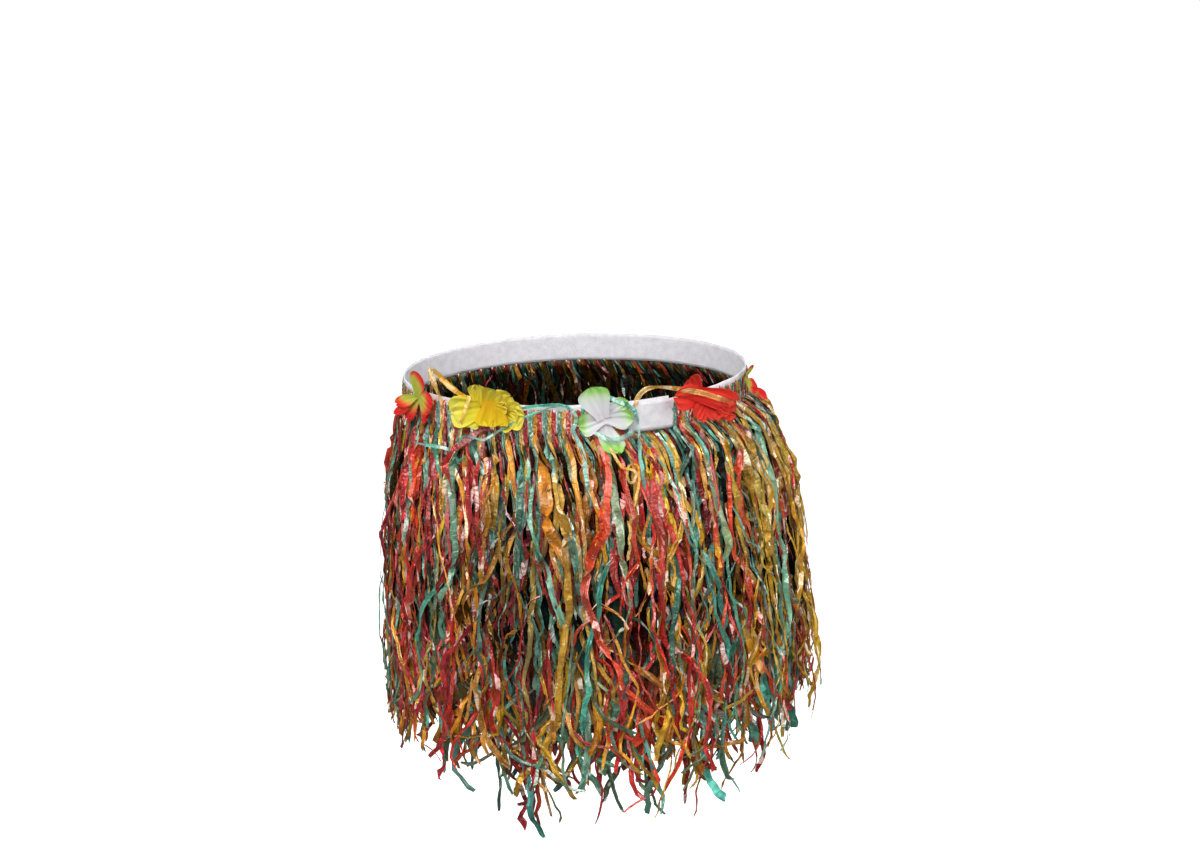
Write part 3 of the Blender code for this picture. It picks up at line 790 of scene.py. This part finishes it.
class Nodes:
    """A new material's node tree, with short ways to add and join nodes."""

    def __init__(self, name):
        self.material = bpy.data.materials.new(name)
        self.material.use_nodes = True
        self.tree = self.material.node_tree
        self.tree.nodes.clear()
        self.output = self.tree.nodes.new("ShaderNodeOutputMaterial")
        self.shader = self.tree.nodes.new("ShaderNodeBsdfPrincipled")
        self.join(self.shader.outputs["BSDF"], self.output.inputs["Surface"])

    def join(self, socket, target):
        self.tree.links.new(socket, target)

    def put(self, value, target):
        """Joins a node's input to a socket, or gives it a value."""
        if isinstance(value, bpy.types.NodeSocket):
            self.join(value, target)
        else:
            target.default_value = value

    def add(self, kind, **inputs):
        node = self.tree.nodes.new("ShaderNode" + kind)
        for key, value in inputs.items():
            self.put(value, node.inputs[key])
        return node

    def attribute(self, name):
        node = self.add("Attribute")
        node.attribute_name = name
        return node

    def maths(self, operation, first, second):
        node = self.add("Math")
        node.operation = operation
        self.put(first, node.inputs[0])
        self.put(second, node.inputs[1])
        return node.outputs["Value"]

    def vector(self, operation, *values):
        """Vector maths, each value a socket or three numbers."""
        node = self.add("VectorMath")
        node.operation = operation
        for value, socket in zip(values, node.inputs):
            self.put(value, socket)
        return node.outputs["Vector"]

    def scaled(self, vector, factors):
        return self.vector("MULTIPLY", vector, factors)

    def times(self, colour, factor):
        node = self.add("VectorMath")
        node.operation = "SCALE"
        self.put(colour, node.inputs[0])
        self.put(factor, node.inputs["Scale"])
        return node.outputs["Vector"]

    def mixed(self, first, second, share):
        """A mix of two colours, each a socket or a value."""
        node = self.add("Mix")
        node.data_type = "RGBA"
        self.put(first, node.inputs[6])
        self.put(second, node.inputs[7])
        self.put(share, node.inputs[0])
        return node.outputs[2]

    def ranged(self, value, low, high, start=0.0, end=1.0):
        """Turns a value between start and end into one between low and high."""
        ends = {"From Min": start, "From Max": end, "To Min": low, "To Max": high}
        return self.add("MapRange", Value=value, **ends).outputs["Result"]

    def noise(self, place, factors, detail, distortion=0.0):
        where = self.scaled(place, factors)
        node = self.add("TexNoise", Vector=where, Scale=1.0, Detail=detail, Distortion=distortion)
        return node.outputs["Fac"]

    def cells(self, place, factors, feature="F1"):
        node = self.add("TexVoronoi", Vector=self.scaled(place, factors), Scale=1.0)
        node.feature = feature
        return node.outputs

    def set(self, **inputs):
        """Sets the shader's own sockets."""
        for key, value in inputs.items():
            self.put(value, self.shader.inputs[key.replace("_", " ")])

    def bump(self, height, strength, distance, **inputs):
        node = self.add("Bump", Strength=strength, Distance=distance, Height=height, **inputs)
        self.set(Normal=node.outputs["Normal"])

    def ramp(self, amount, dark, dark_at, light, light_at):
        """A colour that runs from dark to light as amount goes from dark_at to light_at."""
        node = self.add("ValToRGB", Fac=amount)
        for end, colour, position in zip(node.color_ramp.elements, (dark, light), (dark_at, light_at)):
            end.position = position
            end.color = (*colour, 1)
        return node.outputs["Color"]

    def translucent(self, share, colour):
        """Lets a share of the light through the surface."""
        glow = self.add("BsdfTranslucent", Color=colour)
        mix = self.add("MixShader", Fac=share)
        self.join(self.shader.outputs["BSDF"], mix.inputs[1])
        self.join(glow.outputs["BSDF"], mix.inputs[2])
        self.join(mix.outputs["Shader"], self.output.inputs["Surface"])


# Crumples to the metre along a strip and across it, and how they change from strip to strip.
FACETS = (80, 125, 3.7)
SMALL_FACETS = (260, 230, 5.1)
CREASES = (260, 90, 4.3)
CRINKLES = (560, 150, 2.9)
SMOOTH_PATCHES = (18, 30, 1.9)
SOFT_FOLDS = (420, 100, 3.7)
STREAKS = (24, 1000, 3.7)
DUST = (60, 90, 1.3)
MIDDLE = (0.5, 0.5, 0.5)  # of a random colour, so that facets tilt either way
PAINTED_GLINT_WHITE = (1.0, 0.95, 0.86, 1)
WARM_WHITE = (1.0, 0.97, 0.90, 1)


def film_crumples(nodes, place, run):
    """How crumpled the film is, in patches, and how pleated, most of all near the tape."""
    crumpled = nodes.ranged(nodes.noise(place, SMOOTH_PATCHES, 1.0), 0.2, 1.0, 0.38, 0.62)
    pleated = nodes.ranged(run, 1.7, 0.9, 0.03, 0.16)
    return nodes.maths("MULTIPLY", crumpled, pleated), pleated


def film_normal(nodes, place, facets, crumples):
    """Crumpled film is flat facets, each turned its own way. Between the crumples it is smooth."""
    flat = nodes.add("NewGeometry").outputs["Normal"]
    tilt = nodes.vector("SUBTRACT", facets["Color"], MIDDLE)
    fine_tilt = nodes.vector("SUBTRACT", nodes.cells(place, SMALL_FACETS)["Color"], MIDDLE)
    tilt = nodes.vector("ADD", nodes.scaled(tilt, (0.65,) * 3), nodes.scaled(fine_tilt, (0.45,) * 3))
    return nodes.vector("NORMALIZE", nodes.vector("ADD", flat, nodes.times(tilt, crumples)))


def painted_film_glints(nodes, place, run, chance):
    """Painted glints: some facets are painted pale like mother of pearl, more of them near the tape. Crinkles
    cross them.
    """
    above = nodes.maths("SUBTRACT", chance["Red"], nodes.ranged(run, 0.865, 0.918, 0.02, 0.13))
    caught = nodes.ranged(above, 0.0, 1.0, 0.0, 0.01)
    lines = nodes.ranged(nodes.noise(place, CRINKLES, 2.0), 0.26, 1.0, 0.36, 0.58)
    glow = nodes.ranged(chance["Blue"], 0.25, 1.1)
    return nodes.maths("MULTIPLY", nodes.maths("MULTIPLY", caught, lines), glow)


def film_material(name, alpha=1.0):
    """Shiny, crumpled pearly film that lets some light through, coloured by the strips' tint with its painted
    shade, and painted glints.
    """
    nodes = Nodes(name)
    attribute = nodes.attribute("tint")
    tint, reached = attribute.outputs["Color"], attribute.outputs["Alpha"]
    place = nodes.attribute("place").outputs["Vector"]
    run = nodes.add("SeparateXYZ", Vector=place).outputs["X"]
    facets = nodes.cells(place, FACETS)
    chance = nodes.add("SeparateColor", Color=facets["Color"]).outputs
    crumples, pleated = film_crumples(nodes, place, run)

    # Painted highlight: sharp creases between the crumples are painted a little paler too, as if they caught
    # the light.
    creases = nodes.cells(place, CREASES, "DISTANCE_TO_EDGE")["Distance"]
    ridges = nodes.ranged(creases, 1.0, 0.0, 0.0, 0.16)
    painted_ridge_light = nodes.maths("MULTIPLY", nodes.maths("MULTIPLY", ridges, 0.03), crumples)
    painted_glints = painted_film_glints(nodes, place, run, chance)
    painted_glint_share = nodes.maths("MULTIPLY", nodes.maths("MAXIMUM", painted_glints, painted_ridge_light), reached)
    # Painted light and shade: each facet's colour is made lighter or darker at random, as if turned to or
    # from the light.
    painted_facet_light = nodes.times(tint, nodes.ranged(chance["Green"], 0.66, 1.40))
    body = nodes.mixed(painted_facet_light, nodes.mixed(tint, PAINTED_GLINT_WHITE, 0.60), painted_glint_share)

    streaks = nodes.maths("MULTIPLY", nodes.noise(place, STREAKS, 1.5), 0.6)
    height = nodes.maths("ADD", streaks, nodes.noise(place, SOFT_FOLDS, 1.0, 0.8))
    height = nodes.maths("ADD", height, nodes.maths("MULTIPLY", ridges, 0.16))
    height = nodes.maths("MULTIPLY", height, pleated)
    nodes.bump(height, 0.9, 0.0010, Normal=film_normal(nodes, place, facets, crumples))
    # The painted share of light in the tint's alpha dims the shine, and the painted glints glow as if lit.
    nodes.set(
        Base_Color=body,
        Roughness=nodes.ranged(nodes.noise(place, DUST, 2.0), 0.08, 0.28),
        IOR=1.8,
        Alpha=alpha,
        Specular_Tint=nodes.mixed(tint, WARM_WHITE, 0.36),
        Specular_IOR_Level=nodes.maths("MULTIPLY", reached, 0.95),
        Coat_Weight=nodes.maths("MULTIPLY", reached, 0.65),
        Coat_Roughness=0.09,
        Coat_IOR=1.6,
        Emission_Color=nodes.mixed(tint, WARM_WHITE, 0.52),
        Emission_Strength=nodes.maths("MULTIPLY", painted_glint_share, 0.90),
    )
    if alpha == 1.0:
        nodes.translucent(0.22, body)
    return nodes.material


def petal_material(name):
    """Thin printed cloth with fine veins along the petals."""
    nodes = Nodes(name)
    tint = nodes.attribute("tint").outputs["Color"]
    place = nodes.attribute("place").outputs["Vector"]
    weave = nodes.noise(place, (1500, 1500, 1.0), 2.0)
    veins = nodes.noise(place, (60, 480, 1.7), 1.0)
    nodes.bump(nodes.maths("ADD", weave, veins), 0.45, 0.0003)
    nodes.set(Base_Color=tint, Roughness=0.72, Specular_IOR_Level=0.25)
    nodes.set(Sheen_Weight=0.08, Sheen_Roughness=0.5)
    nodes.translucent(0.22, tint)
    return nodes.material


def tape_material(name, colour):
    """White bonded tape with a fine fuzzy, dotted surface."""
    nodes = Nodes(name)
    place = nodes.attribute("place").outputs["Vector"]
    fuzz = nodes.noise(place, (2600,) * 3, 3.0)
    dots = nodes.cells(place, (900,) * 3)["Distance"]
    nodes.bump(nodes.maths("ADD", fuzz, dots), 0.7, 0.0004)
    soil = nodes.noise(place, (160,) * 3, 4.0)
    soiled = [0.88 * channel for channel in colour]
    nodes.set(Base_Color=nodes.ramp(soil, soiled, 0.35, colour, 0.62))
    nodes.set(Roughness=0.9, Sheen_Weight=0.3, Sheen_Roughness=0.6)
    return nodes.material


def hook_material(name):
    """Hook tape: rows of tiny hooks on a white ground."""
    nodes = Nodes(name)
    where = nodes.add("TexCoord").outputs["Object"]
    hooks = nodes.cells(where, (1100,) * 3)["Distance"]
    nodes.bump(hooks, 1.0, 0.0008)
    nodes.set(Base_Color=nodes.ramp(hooks, (0.80, 0.80, 0.82), 0, (0.55, 0.55, 0.58), 1), Roughness=0.75)
    return nodes.material


# ---------------------------------------------------------------- build

# Outermost, middle and innermost colour of each run in the part.
LAYER_ORDER = (
    ("gold", "red", "teal"),
    ("teal", "gold", "red"),
    ("gold", "red", "teal"),
    ("red", "gold", "teal"),
    ("red", "teal", "gold"),
    ("gold", "teal", "red"),
    ("teal", "red", "gold"),
    ("red", "gold", "teal"),
    ("gold", "teal", "red"),
    ("teal", "red", "gold"),
)

film = film_material("film")
clear_film = film_material("clear_film", alpha=0.62)
for run, order in enumerate(LAYER_ORDER):
    for layer, name in enumerate(reversed(order)):
        strips = make_fringe(run, layer, name, film)
        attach(strips, "root")
        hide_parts(f"fringe_{run + 1:02d}_{name}")

petals = petal_material("petal_cloth")
for name in FLOWERS:
    make_flower(name, petals)

for name in LOOSE_STRIPS:
    make_loose_strip(name, clear_film if name in SEE_THROUGH else film)

TAPE_COLOUR = (0.76, 0.745, 0.785)
tape = make_tape(tape_material("tape_cloth", TAPE_COLOUR))
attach(tape, "root")
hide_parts("waistband")

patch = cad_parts["hook_patch"]
patch.data.materials.clear()
patch.data.materials.append(hook_material("hook_tape"))

# ---------------------------------------------------------------- floor, light and camera

FLOOR_Z = -0.95
FLOOR_RADIUS = 9
BACKDROP_RADIUS = 30  # the floor curves up into a round backdrop of this radius
BACKDROP_HEIGHT = 30


def make_floor():
    """A pale floor that curves up all round, so that no horizon shows from any side."""
    mesh = bpy.data.meshes.new("floor")
    sides = 48
    turns = np.linspace(0, 0.5 * math.pi, 13)
    radii = np.concatenate([[0.01], FLOOR_RADIUS + (BACKDROP_RADIUS - FLOOR_RADIUS) * np.sin(turns)])
    heights = np.concatenate([[0.0], BACKDROP_HEIGHT * (1 - np.cos(turns))]) + FLOOR_Z
    round_it = np.linspace(0, 2 * math.pi, sides, endpoint=False)
    x = radii[:, None] * np.cos(round_it)
    y = radii[:, None] * np.sin(round_it)
    z = heights[:, None] * np.ones(sides)
    index = np.arange(len(radii) * sides).reshape(len(radii), sides)
    here, after = index, np.roll(index, -1, axis=1)
    quads = np.stack([here[:-1], here[1:], after[1:], after[:-1]], -1).reshape(-1, 4)
    faces = [tuple(quad) for quad in quads.tolist()] + [tuple(index[0].tolist())]
    mesh.from_pydata(np.stack([x, y, z], -1).reshape(-1, 3).tolist(), [], faces)
    mesh.shade_smooth()
    floor = bpy.data.objects.new("floor", mesh)
    bpy.context.scene.collection.objects.link(floor)
    nodes = Nodes("floor")
    nodes.set(Base_Color=(0.8, 0.8, 0.8, 1), Roughness=0.9)
    nodes.set(Emission_Color=(1, 1, 1, 1), Emission_Strength=0.92)
    mesh.materials.append(nodes.material)
    # It stays out of the strips' own light, so that the fringe is lit from above.
    floor.visible_diffuse = False
    floor.visible_glossy = False
    floor.visible_transmission = False
    floor.visible_shadow = False


def area_light(name, place, target, side, power):
    data = bpy.data.lights.new(name, "AREA")
    data.shape = "SQUARE"
    data.size = side
    data.energy = power
    light = bpy.data.objects.new(name, data)
    light.location = place
    light.rotation_euler = (Vector(target) - Vector(place)).to_track_quat("-Z", "Y").to_euler()
    bpy.context.scene.collection.objects.link(light)


def make_world():
    world = bpy.data.worlds.new("world")
    world.use_nodes = True
    background = world.node_tree.nodes["Background"]
    background.inputs["Color"].default_value = (1, 1, 1, 1)
    background.inputs["Strength"].default_value = 0.13
    bpy.context.scene.world = world


make_floor()
make_world()
area_light("key", (-0.40, -1.20, 1.35), (0, 0, -0.10), 1.20, 36)
area_light("fill", (1.50, -1.00, 0.55), (0, 0, -0.15), 1.00, 9)
area_light("back", (0.30, 1.50, 1.20), (0, 0, -0.10), 1.20, 14)
# Small lights all round, which the crumpled film throws back as glints.
SPARKS = (
    (-0.95, -1.20, 0.35),
    (0.80, -1.35, 0.60),
    (-0.40, -1.50, 0.95),
    (1.10, -0.80, 0.95),
    (-1.20, -0.60, 0.85),
    (-0.70, 1.20, 0.90),
    (0.90, 1.10, 0.80),
    (1.30, 0.20, 0.50),
)
for spark, place in enumerate(SPARKS):
    area_light(f"spark_{spark}", place, (0, 0, -0.15), 0.14, 2.0)

CAMERA_PLACE = (0.0, -1.438, 0.426)
CAMERA_PITCH = 18.0  # degrees below level
CAMERA_YAW = -0.868  # degrees, towards +X
camera_data = bpy.data.cameras.new("camera")
camera_data.lens = 51.6
camera_data.sensor_width = 36
camera = bpy.data.objects.new("camera", camera_data)
camera.location = CAMERA_PLACE
camera.rotation_euler = Euler((math.radians(90 - CAMERA_PITCH), 0, math.radians(CAMERA_YAW)))
bpy.context.scene.collection.objects.link(camera)
bpy.context.scene.camera = camera
bpy.context.scene.view_settings.view_transform = "Standard"
